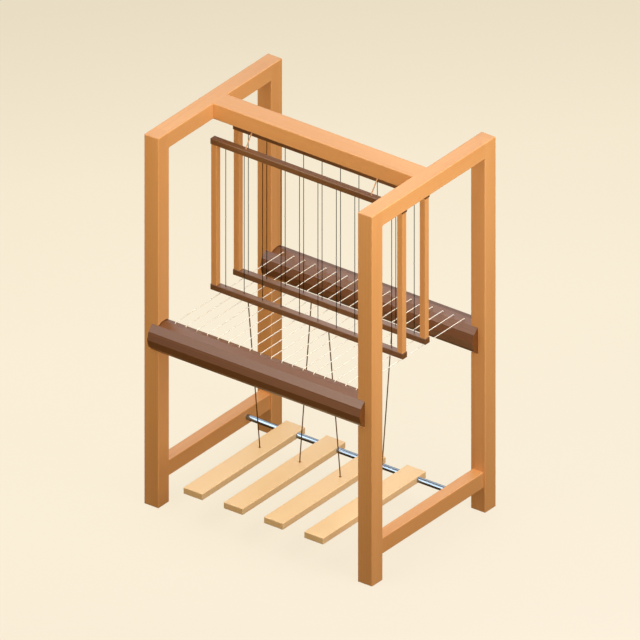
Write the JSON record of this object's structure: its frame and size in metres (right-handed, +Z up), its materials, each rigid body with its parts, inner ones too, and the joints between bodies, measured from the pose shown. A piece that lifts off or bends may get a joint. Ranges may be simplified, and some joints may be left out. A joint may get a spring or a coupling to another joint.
{
  "type": "treadle loom",
  "caption": "Counterbalance treadle loom: open timber frame, turning cloth and warp beams, heddle shafts hung on cords over pulleys, and treadles on a steel rod tied to the shafts.",
  "frame": {"origin": "on the floor, at the middle of the loom's width and depth", "axes": "+X to the weaver's right, +Y to the back, +Z up"},
  "size_m": [1.076, 0.841, 1.6],
  "materials": {
    "frame_wood": "oiled, satin, honey-coloured",
    "dark_wood": "oiled walnut, satin",
    "pale_wood": "bare sanded maple",
    "steel": "bright drawn bar",
    "bronze": "turned",
    "heddle_wire": "dark grey wire",
    "warp_yarn": "undyed cotton yarn",
    "hanger_rope": "twisted hemp",
    "tie_rope": "twisted brown cord"
  },
  "bodies": {
    "frame": {"front_left_post": "frame_wood", "front_right_post": "frame_wood", "rear_left_post": "frame_wood", "rear_right_post": "frame_wood", "left_top_rail": "frame_wood", "right_top_rail": "frame_wood", "left_lower_rail": "frame_wood", "right_lower_rail": "frame_wood", "top_beam": "frame_wood", "beam_bushes": "bronze", "left_pulley_housing": "steel", "right_pulley_housing": "steel", "left_pulley_pin": "steel", "right_pulley_pin": "steel", "treadle_rod": "steel", "warp_threads": "warp_yarn", "left_hanger_cord": "hanger_rope", "right_hanger_cord": "hanger_rope"},
    "cloth_beam": {"cloth_beam": "dark_wood", "cloth_beam_gudgeons": "steel"},
    "warp_beam": {"warp_beam": "dark_wood", "warp_beam_gudgeons": "steel"},
    "front_shaft": {"front_top_bar": "dark_wood", "front_bottom_bar": "dark_wood", "front_left_stile": "frame_wood", "front_right_stile": "frame_wood", "front_heddles": "heddle_wire", "tie_cord_1": "tie_rope", "tie_cord_3": "tie_rope"},
    "rear_shaft": {"rear_top_bar": "dark_wood", "rear_bottom_bar": "dark_wood", "rear_left_stile": "frame_wood", "rear_right_stile": "frame_wood", "rear_heddles": "heddle_wire", "tie_cord_2": "tie_rope", "tie_cord_4": "tie_rope"},
    "left_pulley": {"left_pulley": "pale_wood"},
    "right_pulley": {"right_pulley": "pale_wood"},
    "treadle_1": {"treadle_1": "pale_wood"},
    "treadle_2": {"treadle_2": "pale_wood"},
    "treadle_3": {"treadle_3": "pale_wood"},
    "treadle_4": {"treadle_4": "pale_wood"}
  },
  "joints": [
    {"name": "front_shaft_slide", "type": "slide", "parent": "frame", "child": "front_shaft", "axis": [0, 0, 1], "range_m": [-0.017, 0.017], "deforming": ["left_hanger_cord", "right_hanger_cord"]},
    {"name": "rear_shaft_slide", "type": "slide", "parent": "frame", "child": "rear_shaft", "axis": [0, 0, 1], "range_m": [-0.017, 0.017]},
    {"name": "left_pulley_turn", "type": "hinge", "parent": "frame", "child": "left_pulley", "pos_m": [-0.296, 0, 1.54], "axis": [1, 0, 0], "range_deg": [-40, 40]},
    {"name": "right_pulley_turn", "type": "hinge", "parent": "frame", "child": "right_pulley", "pos_m": [0.296, 0, 1.54], "axis": [1, 0, 0], "range_deg": [-40, 40]},
    {"name": "treadle_1_pivot", "type": "hinge", "parent": "frame", "child": "treadle_1", "pos_m": [-0.285, 0.18, 0.14], "axis": [1, 0, 0], "range_deg": [-5.5, 5.5]},
    {"name": "treadle_2_pivot", "type": "hinge", "parent": "frame", "child": "treadle_2", "pos_m": [-0.095, 0.18, 0.14], "axis": [1, 0, 0], "range_deg": [-5.5, 5.5]},
    {"name": "treadle_3_pivot", "type": "hinge", "parent": "frame", "child": "treadle_3", "pos_m": [0.095, 0.18, 0.14], "axis": [1, 0, 0], "range_deg": [-5.5, 5.5]},
    {"name": "treadle_4_pivot", "type": "hinge", "parent": "frame", "child": "treadle_4", "pos_m": [0.285, 0.18, 0.14], "axis": [1, 0, 0], "range_deg": [-5.5, 5.5]},
    {"name": "cloth_beam_turn", "type": "hinge", "parent": "frame", "child": "cloth_beam", "pos_m": [0, -0.356, 0.734], "axis": [1, 0, 0], "continuous": true, "deforming": ["warp_threads"]},
    {"name": "warp_beam_turn", "type": "hinge", "parent": "frame", "child": "warp_beam", "pos_m": [0, 0.356, 0.734], "axis": [1, 0, 0], "continuous": true}
  ],
  "couplings": [
    {"joint": "rear_shaft_slide", "follows": "front_shaft_slide", "ratio": -1},
    {"joint": "left_pulley_turn", "follows": "front_shaft_slide", "rad_per_m": -40.598},
    {"joint": "right_pulley_turn", "follows": "front_shaft_slide", "rad_per_m": -40.598},
    {"joint": "treadle_1_pivot", "follows": "front_shaft_slide", "rad_per_m": -5.5556},
    {"joint": "treadle_2_pivot", "follows": "front_shaft_slide", "rad_per_m": 5.5556},
    {"joint": "treadle_3_pivot", "follows": "front_shaft_slide", "rad_per_m": -5.5556},
    {"joint": "treadle_4_pivot", "follows": "front_shaft_slide", "rad_per_m": 5.5556}
  ]
}
